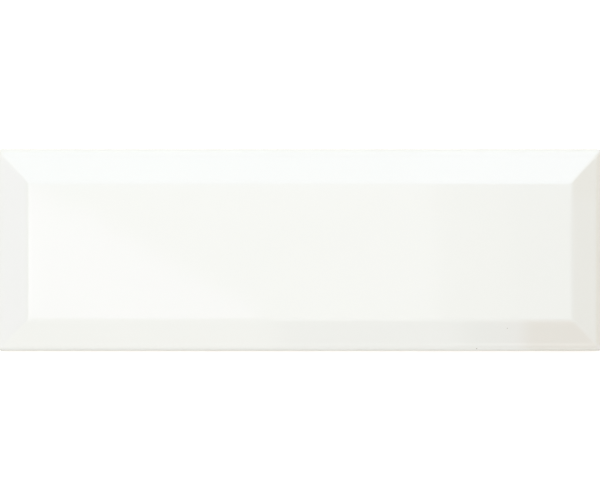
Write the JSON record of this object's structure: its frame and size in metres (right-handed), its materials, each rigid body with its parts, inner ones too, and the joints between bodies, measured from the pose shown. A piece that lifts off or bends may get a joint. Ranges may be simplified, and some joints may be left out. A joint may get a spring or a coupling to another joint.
{
  "type": "bevelled wall tile",
  "caption": "Long glossy white ceramic wall tile with a flat field, wide bevels mitred at the corners, a rolled rim, and a back of shallow keying cells between ribs.",
  "frame": {"origin": "middle of the tile's back, in the plane of the rib tips that it lies on", "axes": "+X along the tile's length, +Y along its width, +Z out of the glazed face"},
  "size_m": [0.3, 0.1, 0.008],
  "materials": {
    "glaze": "gloss"
  },
  "bodies": {
    "root": {"bevelled_tile": "glaze"}
  },
  "joints": []
}
